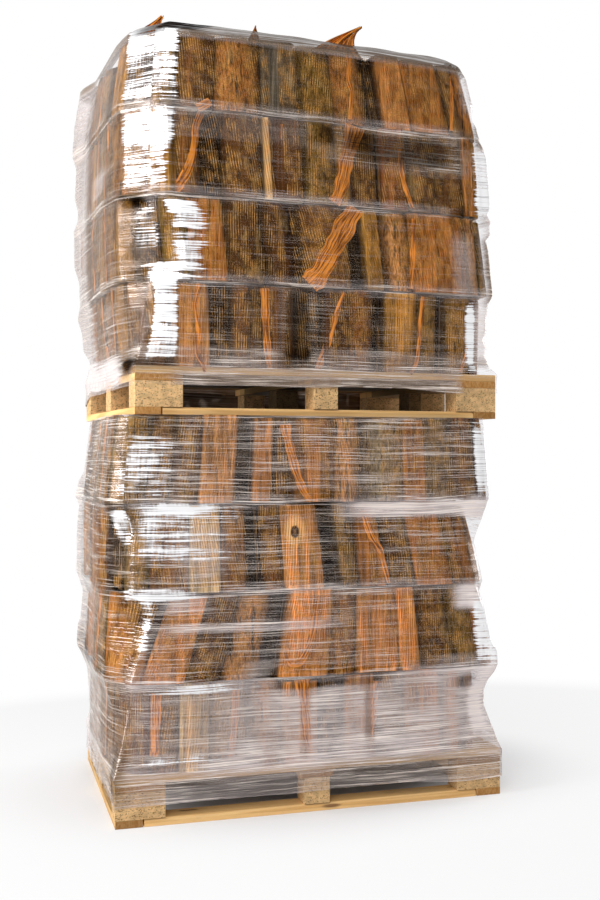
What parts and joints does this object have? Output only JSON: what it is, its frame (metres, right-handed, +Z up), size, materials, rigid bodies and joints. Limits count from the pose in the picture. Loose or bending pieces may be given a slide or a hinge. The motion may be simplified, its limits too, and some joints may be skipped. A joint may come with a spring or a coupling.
{
  "type": "stretch-wrapped pallet load of firewood",
  "caption": "Stacked pallet loads of net-bagged split firewood, each stretch-wrapped on a perimeter-base block pallet.",
  "frame": {"origin": "middle of the lower pallet's footprint, on the floor", "axes": "+X along the long side of the lower pallet, +Y from its front to its back, +Z up"},
  "size_m": [1.2983, 0.9491, 2.3743],
  "materials": {
    "pallet_wood": "sawn, pale, dry",
    "pressed_block": "pressed wood chip, matt",
    "netted_firewood": "split and barked logs under knitted net, matt",
    "stretch_film": "clear, tight, glossy, streaked"
  },
  "bodies": {
    "root": {"lower_base_board_left": "pallet_wood", "lower_base_board_right": "pallet_wood", "lower_base_board_front": "pallet_wood", "lower_base_board_middle": "pallet_wood", "lower_base_board_back": "pallet_wood", "lower_block_front_left": "pressed_block", "lower_block_front_centre": "pressed_block", "lower_block_front_right": "pressed_block", "lower_block_middle_left": "pressed_block", "lower_block_middle_centre": "pressed_block", "lower_block_middle_right": "pressed_block", "lower_block_back_left": "pressed_block", "lower_block_back_centre": "pressed_block", "lower_block_back_right": "pressed_block", "lower_stringer_left": "pallet_wood", "lower_stringer_middle": "pallet_wood", "lower_stringer_right": "pallet_wood", "lower_deck_board_1": "pallet_wood", "lower_deck_board_2": "pallet_wood", "lower_deck_board_3": "pallet_wood", "lower_deck_board_4": "pallet_wood", "lower_deck_board_5": "pallet_wood", "lower_deck_board_6": "pallet_wood", "lower_deck_board_7": "pallet_wood", "lower_bags_1": "netted_firewood", "lower_bags_2": "netted_firewood", "lower_bags_3": "netted_firewood", "lower_bags_4": "netted_firewood", "lower_stretch_film": "stretch_film", "upper_base_board_left": "pallet_wood", "upper_base_board_right": "pallet_wood", "upper_base_board_front": "pallet_wood", "upper_base_board_middle": "pallet_wood", "upper_base_board_back": "pallet_wood", "upper_block_front_left": "pressed_block", "upper_block_front_centre": "pressed_block", "upper_block_front_right": "pressed_block", "upper_block_middle_left": "pressed_block", "upper_block_middle_centre": "pressed_block", "upper_block_middle_right": "pressed_block", "upper_block_back_left": "pressed_block", "upper_block_back_centre": "pressed_block", "upper_block_back_right": "pressed_block", "upper_stringer_left": "pallet_wood", "upper_stringer_middle": "pallet_wood", "upper_stringer_right": "pallet_wood", "upper_deck_board_1": "pallet_wood", "upper_deck_board_2": "pallet_wood", "upper_deck_board_3": "pallet_wood", "upper_deck_board_4": "pallet_wood", "upper_deck_board_5": "pallet_wood", "upper_deck_board_6": "pallet_wood", "upper_deck_board_7": "pallet_wood", "upper_bags_1": "netted_firewood", "upper_bags_2": "netted_firewood", "upper_bags_3": "netted_firewood", "upper_bags_4": "netted_firewood", "upper_stretch_film": "stretch_film"}
  },
  "joints": []
}
